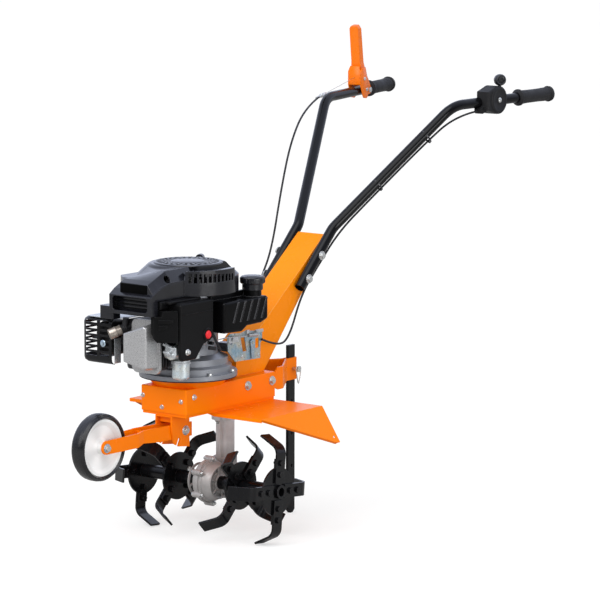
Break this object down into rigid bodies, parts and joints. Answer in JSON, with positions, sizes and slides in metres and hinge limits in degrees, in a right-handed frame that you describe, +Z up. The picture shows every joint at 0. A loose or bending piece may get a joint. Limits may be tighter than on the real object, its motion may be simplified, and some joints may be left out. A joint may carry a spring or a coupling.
{
  "type": "garden tiller",
  "caption": "Walk-behind garden tiller with a vertical-shaft petrol engine, belt and worm drive, bent tine stars under fenders, fold-down front wheel, depth bar and twin handlebars.",
  "frame": {"origin": "on the ground under the middle of the bounding box", "axes": "+X forwards to the front wheel, +Y to the operator's left, +Z up"},
  "size_m": [1.5332, 0.5388, 1.1555],
  "materials": {
    "orange_paint": "semi-gloss powder coat",
    "black_paint": "satin black paint",
    "black_rubber": "matt",
    "black_plastic": "satin moulded",
    "red_rubber": "satin",
    "white_plastic": "satin moulded",
    "tyre_rubber": "matt",
    "cast_aluminium": "bare satin",
    "grey_casting": "rough casting",
    "cast_iron": "machined",
    "zinc_steel": "zinc plated",
    "bare_steel": "machined",
    "bronze": "machined"
  },
  "bodies": {
    "frame": {"chassis": "orange_paint", "belt_cover": "orange_paint", "engine_seat": "orange_paint", "left_fender": "orange_paint", "right_fender": "orange_paint", "handle_column": "orange_paint", "depth_bar_bracket": "orange_paint", "depth_bar": "black_paint", "frame_bolts": "zinc_steel", "wheel_bracket": "orange_paint", "pivot_bolt": "zinc_steel", "left_handlebar": "black_paint", "right_handlebar": "black_paint", "grips": "black_rubber", "clutch_cable": "black_rubber", "throttle_housing": "black_plastic", "throttle_cable": "black_rubber", "crankcase": "cast_aluminium", "cylinder_head": "cast_aluminium", "valve_cover": "cast_aluminium", "spark_plug_cap": "black_rubber", "muffler": "bare_steel", "muffler_guard": "black_paint", "air_filter_base": "black_plastic", "air_filter_cover": "black_plastic", "carburettor": "cast_aluminium", "governor_plate": "zinc_steel", "fuel_tank": "black_plastic", "blower_housing": "black_plastic", "drive_belt": "black_rubber", "gearbox_bearings": "bare_steel", "gearbox_left_half": "grey_casting", "gearbox_right_half": "grey_casting"},
    "depth_pin": {"depth_pin": "zinc_steel"},
    "wheel_fork": {"wheel_fork": "orange_paint", "axle_bolt": "zinc_steel"},
    "wheel": {"wheel_hub": "white_plastic", "wheel_tyre": "tyre_rubber"},
    "clutch_lever": {"clutch_lever": "orange_paint"},
    "throttle_lever": {"throttle_lever": "black_plastic"},
    "crank": {"crankshaft": "bare_steel", "flywheel": "cast_iron", "engine_pulley": "cast_iron"},
    "primer_button": {"primer_button": "red_rubber"},
    "throttle_arm": {"throttle_arm": "zinc_steel"},
    "fuel_cap": {"fuel_cap": "black_plastic"},
    "oil_filler_plug": {"oil_filler_plug": "black_plastic"},
    "starter_handle": {"starter_handle": "black_plastic"},
    "idler_arm": {"idler_arm": "bare_steel"},
    "idler_pulley": {"idler_pulley": "cast_iron"},
    "worm": {"worm_shaft": "bare_steel", "input_pulley": "cast_iron"},
    "tines": {"worm_wheel": "bronze", "tine_shaft": "bare_steel", "left_tine_hub": "black_paint", "right_tine_hub": "black_paint", "tine_blades": "black_paint", "tine_bolts": "black_paint", "hitch_pins": "zinc_steel"}
  },
  "joints": [
    {"name": "tine_spin", "type": "hinge", "parent": "frame", "child": "tines", "pos_m": [0.295, 0, 0.13], "axis": [0, 1, 0], "continuous": true},
    {"name": "worm_spin", "type": "hinge", "parent": "frame", "child": "worm", "pos_m": [0.235, 0, 0.23], "axis": [0, 0, 1], "continuous": true},
    {"name": "crank_spin", "type": "hinge", "parent": "frame", "child": "crank", "pos_m": [0.372, 0, 0.48], "axis": [0, 0, 1], "continuous": true},
    {"name": "wheel_arm", "type": "hinge", "parent": "frame", "child": "wheel_fork", "pos_m": [0.412, 0, 0.271], "axis": [0, 1, 0], "range_deg": [0, 60]},
    {"name": "wheel_spin", "type": "hinge", "parent": "wheel_fork", "child": "wheel", "pos_m": [0.689, 0, 0.2707], "axis": [0, 1, 0], "continuous": true},
    {"name": "clutch_lever", "type": "hinge", "parent": "frame", "child": "clutch_lever", "pos_m": [-0.62, -0.228, 0.9855], "axis": [0.1551, -0.9879, 0], "range_deg": [0, 60], "stiffness_Nm_per_rad": 3, "springref_deg": -11.46},
    {"name": "idler_arm", "type": "hinge", "parent": "frame", "child": "idler_arm", "pos_m": [0.357, 0.052, 0.36], "axis": [0, 0, 1], "range_deg": [0, 8]},
    {"name": "idler_spin", "type": "hinge", "parent": "idler_arm", "child": "idler_pulley", "pos_m": [0.3, 0.0535, 0.35], "axis": [0, 0, 1], "continuous": true},
    {"name": "throttle_lever", "type": "hinge", "parent": "frame", "child": "throttle_lever", "pos_m": [-0.555, 0.2358, 0.985], "axis": [0, -1, 0], "range_deg": [0, 50]},
    {"name": "throttle_arm", "type": "hinge", "parent": "frame", "child": "throttle_arm", "pos_m": [0.243, 0.0894, 0.462], "axis": [0, 1, 0], "range_deg": [0, 30]},
    {"name": "primer_button", "type": "slide", "parent": "frame", "child": "primer_button", "axis": [0, -1, 0], "range_m": [0, 0.005], "stiffness_N_per_m": 400, "springref_m": -0.001},
    {"name": "fuel_cap", "type": "hinge", "parent": "frame", "child": "fuel_cap", "pos_m": [0.253, 0.097, 0.61], "axis": [0, 0, 1], "range_deg": [0, 90]},
    {"name": "oil_filler_plug", "type": "hinge", "parent": "frame", "child": "oil_filler_plug", "pos_m": [0.322, -0.087, 0.455], "axis": [0, 0, 1], "range_deg": [0, 90]},
    {"name": "starter_handle", "type": "slide", "parent": "frame", "child": "starter_handle", "axis": [-0.8914, -0.4532, 0], "range_m": [0, 0.07], "stiffness_N_per_m": 100, "springref_m": -0.02},
    {"name": "depth_pin", "type": "slide", "parent": "frame", "child": "depth_pin", "axis": [0, 1, 0], "range_m": [0, 0.045]}
  ],
  "couplings": [
    {"joint": "worm_spin", "follows": "tine_spin", "ratio": -14},
    {"joint": "idler_arm", "follows": "clutch_lever", "ratio": 0.13333},
    {"joint": "throttle_arm", "follows": "throttle_lever", "ratio": 0.6}
  ]
}
